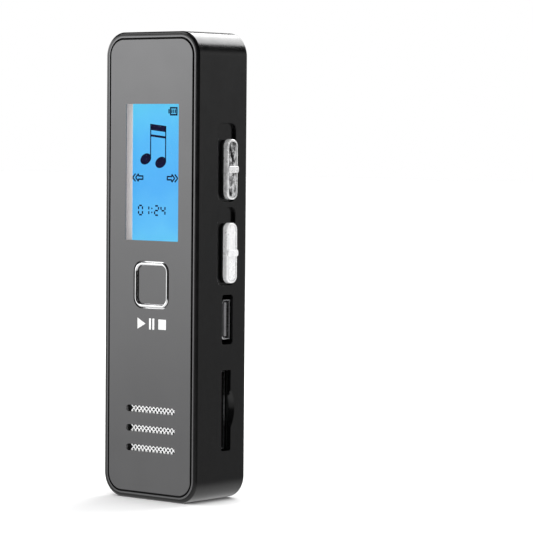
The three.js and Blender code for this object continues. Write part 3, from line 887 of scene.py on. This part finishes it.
def play_mark(mark):
    """Play, pause and stop signs under the square key."""
    centre = 0.5
    z = 33.25
    half = 1.05
    left = centre - 3.6
    mark.polygon([(left, z - half), (left, z + half), (left + 2.0, z)])
    for side in (-0.42, 0.42):
        mark.bar(centre + side, z - half, centre + side, z + half, 0.46)
    right = centre + 3.6
    stop = 1.9
    mark.bar(right - stop, z, right, z, stop)


SWITCH_COLUMN = 8.3
KEY_COLUMN = -7.9


def up_and_down_arrows(mark, u, z, half):
    """Two half-headed arrows side by side, one up and one down: the switch slides between them."""
    for side, way in ((-0.42, 1), (0.42, -1)):
        end = z + way * half
        mark.bar(u + side, z - way * half, u + side, end, 0.26)
        barb = u + side + math.copysign(0.62, side)
        mark.bar(u + side, end - way * 0.1, barb, end - way * 0.8, 0.26)


def recording_mark(mark):
    mark.disc(SWITCH_COLUMN, 69.2, 0.98)
    up_and_down_arrows(mark, SWITCH_COLUMN, 63.5, 2.0)
    mark.bar(SWITCH_COLUMN - 0.9, 57.8, SWITCH_COLUMN + 0.9, 57.8, 1.8)


def power_mark(mark):
    mark.bar(SWITCH_COLUMN - 0.9, 52.3, SWITCH_COLUMN + 0.9, 52.3, 0.34)
    up_and_down_arrows(mark, SWITCH_COLUMN, 47.8, 1.8)
    mark.ring(SWITCH_COLUMN, 43.2, 0.8, 0.34)


def charging_mark(mark):
    """A plug with two prongs, for the data and charging socket."""
    u = SWITCH_COLUMN
    for side in (-0.4, 0.4):
        mark.bar(u + side, 34.5, u + side, 35.4, 0.26)
    mark.polygon([
        (u - 0.85, 34.5), (u + 0.85, 34.5), (u + 0.85, 33.7),
        (u + 0.4, 33.1), (u - 0.4, 33.1), (u - 0.85, 33.7),
    ])
    mark.bar(u, 33.1, u, 31.5, 0.28)


def menu_mark(mark):
    for row in range(3):
        z = 64.4 + 0.75 * row
        mark.bar(KEY_COLUMN - 0.95, z, KEY_COLUMN + 0.95, z, 0.34)


def volume_mark(mark):
    u = KEY_COLUMN
    z = 54.5
    mark.bar(u - 0.95, z, u - 0.5, z, 0.7)
    mark.polygon([(u - 0.5, z - 0.35), (u - 0.5, z + 0.35), (u + 0.05, z + 0.9), (u + 0.05, z - 0.9)])
    mark.ring(u + 0.05, z, 0.55, 0.24, -50, 50, 10)
    mark.ring(u + 0.05, z, 1.0, 0.24, -50, 50, 12)


def step_mark(mark, z, way):
    """A solid arrowhead with a bar behind it."""
    u = KEY_COLUMN
    mark.polygon([(u - 0.95, z - way * 0.55), (u + 0.95, z - way * 0.55), (u, z + way * 0.95)])
    mark.bar(u - 0.95, z - way * 1.15, u + 0.95, z - way * 1.15, 0.34)


def headphone_mark(mark):
    z = 83.0
    mark.ring(0, z, 1.5, 0.3, 0, 180, 24)
    for side in (-1, 1):
        mark.bar(side * 1.5, z, side * 1.5, z - 0.5, 0.3)
        mark.polygon(rounded_rect(0.62, 1.4, 0.25, side * 1.16, z - 0.75, 4))


def print_marks(face, outward, slot, material, drawings):
    """Makes a piece of each named drawing, on a face that looks along -Y or +Y."""
    for name, draw in drawings.items():
        mark = Mark(face, outward)
        draw(mark)
        settle(new_object(name, mark.bm), HOUSING, slot, material=material)


# ---------- play key ----------

def play_face_size():
    """How wide the square key's visible ring is."""
    low, high = box_mm("play_inlay")
    return high.x - low.x + 2 * (PLAY_RIM + 0.05)


def play_key():
    size = play_face_size()
    x, _, z = middle("play_inlay")
    rim_low, rim_high = box_mm("play_rim")
    inlay_low, inlay_high = box_mm("play_inlay")
    flange = (rim_high.x - rim_low.x - size) / 2
    crown = PLAY_RIM / 2
    flange_front = rim_high.y - 0.6
    stations = [(flange, rim_high.y), (flange, flange_front), (0, flange_front), (0, rim_low.y + crown)]
    for i in range(1, 8):
        turn = math.pi * i / 8
        stations.append((-crown + crown * math.cos(turn), rim_low.y + crown - crown * math.sin(turn)))
    stations += [(-PLAY_RIM, rim_low.y + crown), (-PLAY_RIM, inlay_high.y + 0.05)]
    rim = loft("play_ring", rect_rings(size, size, PLAY_CORNER, x, z, stations, 12), "y")
    settle(rim, "play_button", "chrome", ["play_rim"])
    corner = PLAY_CORNER - PLAY_RIM
    inlay = box_pad("play_face", inlay_low, inlay_high, corner, "y", 0.08)
    settle(inlay, "play_button", "mirror_panel", ["play_inlay"])


# ---------- slide switches ----------

KNOB = {"corner": 1.3, "rim": 0.38, "groove": 0.14, "sink": 0.05, "edge": 0.24, "edge_depth": 0.3}
RIB = {"height": 0.3, "length": 1.25, "corner": 0.35}
SKIRT_INSET = 0.15


def slider_knob(node, body, rim_material, face_material):
    """A cap on a black skirt: a raised rim, a sunk face behind a fine groove, and one grip rib."""
    low, high = box_mm(node)
    top = high.x - RIB["height"]
    skirt_top = SIDE - 0.1
    _, y, z = (low + high) / 2
    width = high.y - low.y
    length = high.z - low.z
    corner = KNOB["corner"]
    rim = KNOB["rim"]

    def layer(name, inset, radius, bottom, upper, edge=0.0, steps=10):
        size = (width - 2 * inset, length - 2 * inset)
        return pad(f"{body}_{name}", *size, radius, y, z, bottom, upper, "x", 0.0, edge, steps)

    skirt = layer("skirt", SKIRT_INSET, corner - SKIRT_INSET, low.x, skirt_top + 0.1)
    settle(skirt, body, "black_plastic")
    stations = [(-0.1, skirt_top), (0, skirt_top + 0.1)]
    stations += fillet(top, -1, KNOB["edge"], KNOB["edge_depth"], 6)[::-1]
    stations += [(-rim, top), (-rim, top - 0.3)]
    cap = loft(f"{body}_cap", rect_rings(width, length, corner, y, z, stations), "x")
    join(cap, pad(
        "rib", width - 0.1, RIB["length"], RIB["corner"], y, z, top - 0.25, high.x, "x", 0.0, 0.14, 6,
    ))
    settle(cap, body, "chrome", [node], rim_material)
    inset = rim + KNOB["groove"]
    face = layer("face", inset, corner - inset, top - 0.32, top - KNOB["sink"], 0.06, 8)
    settle(face, body, "chrome", material=face_material)


# ---------- side keys ----------

SIDE_KEY_NAMES = ("menu", "volume", "up", "down")
KEYS = {f"{name}_key": f"{name}_button" for name in SIDE_KEY_NAMES}
KEY_FACE_LENGTH = 6.6
KEY_FLANGE = 2.3             # how wide the flange is that holds a key in
KEY_FLANGE_LOW = -10.05      # where the flange starts, inside the wall


def key_face(node):
    """Lower and upper corner of a key's visible cap, in Y and Z."""
    low, high = box_mm(node)
    centre = (low.z + high.z) / 2
    half = KEY_FACE_LENGTH / 2
    return (low.y, centre - half), (high.y, centre + half)


def side_key(node, body):
    low, high = box_mm(node)
    face_low, face_high = key_face(node)
    centre = (low + high) / 2
    edge = 0.4
    cap = pad(
        f"{body}_cap", face_high[0] - face_low[0], face_high[1] - face_low[1], KEY_CORNER,
        centre.y, centre.z, low.x, KEY_FLANGE_LOW, "x", edge, 0.0, 10,
    )
    bottom = KEY_FLANGE_LOW - 0.01
    length = high.z - low.z
    join(cap, pad("flange", KEY_FLANGE, length, 0.4, centre.y, centre.z, bottom, high.x, "x", steps=4))
    settle(cap, body, "chrome", [node])


# ---------- speaker mesh ----------

def wire_into(bm, points, half_width, half_depth, sides=8):
    """A thin flattened wire along a list of points that all lie near one plane facing -Y."""
    rows = []
    for i, point in enumerate(points):
        ahead = points[min(i + 1, len(points) - 1)]
        behind = points[max(i - 1, 0)]
        along = (ahead - behind).normalized()
        out = Vector((0, 1, 0))
        across = along.cross(out).normalized()
        out = across.cross(along)
        rows.append([
            bm.verts.new(point + half_width * math.cos(turn) * across + half_depth * math.sin(turn) * out)
            for turn in (2 * math.pi * k / sides for k in range(sides))
        ])
    join_rows(bm, rows)


def speaker_mesh():
    """Diagonal wires woven over and under each other behind the three slots."""
    low, high = box_mm("speaker_mesh")
    centre = (low + high) / 2
    half_width = SLOT["length"] / 2 - 0.36
    half_height = (high.z - low.z) / 2
    pitch = 0.92                               # between crossings, measured along X
    rise = (SLOT["z"][0] - SLOT["z"][1]) / 4   # between crossings, measured along Z
    wire_half_width = 0.11
    wire_half_depth = 0.075
    lift = 0.07
    row_shift = SLOT["z"][1] - centre.z + rise / 2
    bm = bmesh.new()
    for lean in (1, -1):
        slope = lean * rise / pitch
        reach = half_width + half_height / abs(slope)
        count = int(reach / pitch) + 1
        for n in range(-count, count + 1):
            points = []
            steps = 8 * count
            for i in range(steps + 1):
                v = -half_height + 2 * half_height * i / steps
                u = n * pitch + (v - row_shift) / slope
                if abs(u) > half_width - wire_half_width:
                    continue
                phase = math.pi * (2 * u / pitch - n)
                y = centre.y + lift * lean * math.cos(phase)
                points.append(Vector((SLOT["x"] + u, y, centre.z + v)))
            if len(points) > 8:
                wire_into(bm, points, wire_half_width, wire_half_depth)
    weave = new_object("speaker_weave", bm)
    settle(weave, HOUSING, "speaker_mesh", ["speaker_mesh"])


# ---------- sockets ----------

def six_sided(low, high, inset, cut_corner):
    """The data socket's outline in Y and Z: a rectangle with its two front corners cut off."""
    front = low.y + inset
    back = high.y - inset
    bottom = low.z + inset
    top = high.z - inset
    return [(front, bottom + cut_corner), (front + cut_corner, bottom), (back, bottom), (back, top),
            (front + cut_corner, top), (front, top - cut_corner)]


TONGUE = {"y": 1.85, "thickness": 0.7, "length": 6.4, "heel": 0.8}


def data_socket():
    low, high = box_mm("usb_shell")
    wall = 0.25
    corner = 0.6
    rolled = 0.08
    rings = [
        (six_sided(low, high, 0, corner), low.x),
        (six_sided(low, high, 0, corner), high.x - rolled),
        (six_sided(low, high, rolled, corner), high.x),
        (six_sided(low, high, wall - rolled, corner), high.x),
        (six_sided(low, high, wall, corner), high.x - rolled),
        (six_sided(low, high, wall, corner), low.x + wall),
    ]
    shell = loft("data_socket_shell", rings, "x")
    settle(shell, HOUSING, "steel", ["usb_shell"])
    tongue_low, tongue_high = box_mm("usb_tongue")
    centre_z = (low.z + high.z) / 2
    blade = pad(
        "data_socket_tongue", TONGUE["thickness"], TONGUE["length"], 0.12, TONGUE["y"], centre_z,
        tongue_low.x + 0.4, tongue_high.x, "x", 0.0, 0.08, 3,
    )
    heel_outline = six_sided(tongue_low, tongue_high, 0, corner)
    heel_top = tongue_low.x + TONGUE["heel"]
    join(blade, loft("heel", [(heel_outline, tongue_low.x), (heel_outline, heel_top)], "x"))
    contact_y = TONGUE["y"] + TONGUE["thickness"] / 2
    for i in range(5):
        z = centre_z + 0.65 * (i - 2)
        start = tongue_low.x + 1
        end = tongue_high.x - 0.3
        join(blade, pad("contact", 0.1, 0.4, 0.04, contact_y, z, start, end, "x", steps=2))
    settle(blade, HOUSING, "grey_plastic", ["usb_tongue"])


def card_socket():
    low, high = box_mm("card_cover")
    wall = 0.2
    centre = (low + high) / 2
    cover = box_pad("card_socket_cover", low, high, 0.12, "x", steps=3)
    inside = box_pad(
        "tool", low + Vector((wall, -wall, wall)), high + Vector((1, -wall, -wall)), 0.05, "x", steps=2,
    )
    springs = [
        pad("tool", 1.4, 3.2, 0.3, x, centre.z, high.y - wall - 0.5, high.y + 0.5, "y", steps=4)
        for x in (0.0, 4.5)
    ]
    cut(cover, inside, *springs)
    settle(cover, HOUSING, "steel", ["card_cover"])


def headphone_socket():
    low, high = box_mm("headphone_jack")
    centre = (low + high) / 2
    body = box_pad("headphone_socket", low, high, 0.5, "z", 0.15, 0.15, 5)
    cut(body, rod("tool", JACK_BORE, centre.x, centre.y, low.z + 1, high.z + 1, "z"))
    settle(body, HOUSING, "black_plastic", ["headphone_jack"])


def socket_ring():
    low, high = box_mm("jack_ring")
    centre = (low + high) / 2
    outer = (high.x - low.x) / 2
    soft = 0.1
    lead = 0.25
    profile = [(outer, low.z), (outer, high.z - soft), (outer - soft, high.z),
               (JACK_BORE + lead, high.z), (JACK_BORE, high.z - lead), (JACK_BORE, low.z)]
    bm = bmesh.new()
    rings = [(circle(radius, centre.x, centre.y, 64), z) for radius, z in profile]
    loft_into(bm, rings, "z", closed=True)
    settle(new_object("socket_ring", bm), HOUSING, "brass", ["jack_ring"])


# ---------- CAD nodes that keep their shape ----------

CARRIED_OVER = {
    "glue": ("front_glue_ring", "back_glue_ring"),
    "white_tray": ("lcd_tray",),
    "foam": ("lcd_spacer", "speaker_foam", "microphone_boot"),
    "flex": ("display_flex",),
    "circuit_board": ("main_board", "battery_board"),
    "steel": (*[f"board_screw_{i}" for i in range(1, 5)], "crystal", "microphone", "speaker_frame",
              "rec_switch", "power_switch"),
    "chip": ("processor", "flash_memory"),
    "black_plastic": ("card_base", "play_plunger", "play_switch", "rec_actuator", "power_actuator",
                      *[f"{key}_{part}" for key in SIDE_KEY_NAMES for part in ("stem", "switch")]),
    "cone": ("speaker_cone",),
    "battery_foil": ("battery_cell",),
}


def finish_carried_over_nodes():
    for material, nodes in CARRIED_OVER.items():
        for node in nodes:
            for material_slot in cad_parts[node].material_slots:
                material_slot.material = MATERIAL[material]


# ---------- floor, light and camera ----------

def floor():
    """Pale paper that lights and shades as usual but isn't mirrored in the glossy faces."""
    bm = bmesh.new()
    bmesh.ops.create_grid(bm, x_segments=2, y_segments=2, size=3.0)
    ground = new_object("floor", bm)
    ground.location.z = -0.00002
    ground.visible_glossy = False
    nodes = Nodes("floor_paper", Roughness=0.9, Specular_IOR_Level=0.1)
    nodes.set("Base Color", nodes.blend(nodes.noise(40, 3), grey(0.86), grey(0.9)))
    ground.data.materials.append(nodes.material)


EVEN_LIGHT = 1.25            # how strongly the surroundings light matte faces


def area_light(name, toward, distance, width, height, radiance, aim=(0, 0, 0.05)):
    """A soft box seen from the recorder in the direction `toward`, facing it."""
    light = bpy.data.lights.new(name, "AREA")
    light.shape = "RECTANGLE"
    light.size = width
    light.size_y = height
    light.energy = radiance * math.pi * width * height
    holder = bpy.data.objects.new(name, light)
    direction = Vector(toward).normalized()
    holder.location = Vector(aim) + direction * distance
    holder.rotation_euler = direction.to_track_quat("Z", "Y").to_euler()
    bpy.context.scene.collection.objects.link(holder)


def studio_light():
    area_light("back_top_box", (-0.06, 0.76, 0.63), 0.6, 0.55, 0.2, 7.5, (0, 0, 0.08))
    area_light("front_left_box", (-0.85, -0.76, 0.9), 0.8, 0.3, 0.3, 2.5)


CAMERA = {
    "azimuth": 39.98,
    "elevation": 2.76,
    "roll": 0.482,
    "distance": 0.5199,
    "right_of_centre": -0.01728,
    "above_centre": 0.00018,
    "lens": 185.17,
}


def camera_axes():
    azimuth = math.radians(CAMERA["azimuth"])
    elevation = math.radians(CAMERA["elevation"])
    roll = math.radians(CAMERA["roll"])
    backward = Vector((
        math.sin(azimuth) * math.cos(elevation),
        -math.cos(azimuth) * math.cos(elevation),
        math.sin(elevation),
    ))
    level = Vector((math.cos(azimuth), math.sin(azimuth), 0))
    upright = backward.cross(level)
    right = math.cos(roll) * level + math.sin(roll) * upright
    return right, backward.cross(right), backward


def camera():
    right, up, backward = camera_axes()
    data = bpy.data.cameras.new("camera")
    data.lens = CAMERA["lens"]
    data.clip_start = 0.01
    data.clip_end = 20
    holder = bpy.data.objects.new("camera", data)
    spot = Vector((0, 0, CENTRE_Z * MM)) + backward * CAMERA["distance"]
    spot -= right * CAMERA["right_of_centre"] + up * CAMERA["above_centre"]
    turn = Matrix((right, up, backward)).transposed()
    holder.matrix_world = Matrix.Translation(spot) @ turn.to_4x4()
    bpy.context.scene.collection.objects.link(holder)
    bpy.context.scene.camera = holder


class Sky(Graph):
    """Brightness of the studio around the recorder, written as nodes on the view direction."""

    def __init__(self, tree):
        super().__init__(tree)
        self.direction = self.add("ShaderNodeTexCoord").outputs["Generated"]

    def toward(self, axis):
        """Cosine of the angle between a direction and this axis."""
        inputs = {0: self.direction, 1: Vector(axis).normalized()}
        return self.add("ShaderNodeVectorMath", inputs, operation="DOT_PRODUCT").outputs["Value"]

    def fade(self, source, from_low, from_high, low, high):
        return self.remap(source, low, high, from_low, from_high, "SMOOTHSTEP")

    def light(self, strength):
        inputs = {"Color": (1, 1, 1, 1), "Strength": strength}
        return self.add("ShaderNodeBackground", inputs).outputs[0]


def mirrored_studio(sky):
    """A bright wall at the front left, a dim one elsewhere, a dark ceiling, a pale floor, and
    darkness above the horizon on the side where the camera stands in the main view."""
    up = sky.toward((0, 0, 1))
    front_left = sky.toward((-0.648, -0.762, 0))
    bright_wall = sky.fade(up, -0.2, 0.3, 0.64, 3.9)
    dim_wall = sky.fade(up, -0.10, 0.06, 0.36, 0.66)
    wall = sky.fade(front_left, 0.15, 0.75, dim_wall, bright_wall)
    open_top = sky.fade(up, 0.15, 0.36, 1.0, 0.06)
    upper = sky.maths("MULTIPLY", wall, open_top)
    with_floor = sky.fade(up, -0.6, -0.22, 1.0, upper)
    low_light = sky.fade(up, -0.16, -0.08, 1.0, 0.01)
    unlit_side = sky.fade(sky.toward(camera_axes()[2]), 0.24, 0.55, 1.0, low_light)
    back_shade = sky.fade(sky.toward((0.292, 0.956, 0)), 0.93, 0.985, 1.0, 0.3)
    shaded = sky.maths("MULTIPLY", with_floor, unlit_side)
    return sky.maths("MULTIPLY", shaded, back_shade)


def surroundings():
    """Plain white to the camera, an even soft light on matte faces, and the studio in gloss."""
    world = bpy.data.worlds.new("studio")
    bpy.context.scene.world = world
    world.use_nodes = True
    world.node_tree.nodes.clear()
    sky = Sky(world.node_tree)
    path = sky.add("ShaderNodeLightPath")
    seen = sky.light(EVEN_LIGHT)
    for ray, strength in (("Is Glossy Ray", mirrored_studio(sky)), ("Is Camera Ray", 1.0)):
        mix = sky.add("ShaderNodeMixShader", {0: path.outputs[ray], 1: seen, 2: sky.light(strength)})
        seen = mix.outputs[0]
    sky.add("ShaderNodeOutputWorld", {"Surface": seen})
    bpy.context.scene.view_settings.view_transform = "Standard"


# ---------- assembly ----------

camera()
surroundings()
studio_light()
floor()

housing()
front_panel()
back_panel()
display()
print_marks(LCD_LOW.y, -1, "lit_screen", "navy_ink", {
    "screen_note": music_note,
    "screen_arrow_left": lambda mark: screen_arrow(mark, -5.95, -1),
    "screen_arrow_right": lambda mark: screen_arrow(mark, 5.45, 1),
    "screen_battery": battery_icon,
    "screen_time": time_readout,
})
print_marks(PANEL_LOW.y, -1, "mirror_panel", "white_ink", {"print_play": play_mark})
print_marks(BACK_FACE, 1, "mirror_panel", "white_ink", {
    "print_recording": recording_mark,
    "print_power": power_mark,
    "print_plug": charging_mark,
    "print_menu": menu_mark,
    "print_volume": volume_mark,
    "print_up": lambda mark: step_mark(mark, 43.9, 1),
    "print_down": lambda mark: step_mark(mark, 34.3, -1),
    "print_headphones": headphone_mark,
})

play_key()
# The record switch's face takes the chrome with painted reflection in its colour.
slider_knob("rec_knob", "rec_slider", "bright_chrome", "chrome_painted_reflection")
slider_knob("power_knob", "power_slider", "satin_silver", "satin_silver")
for key_node, key_body in KEYS.items():
    side_key(key_node, key_body)

speaker_mesh()
data_socket()
card_socket()
headphone_socket()
socket_ring()
finish_carried_over_nodes()
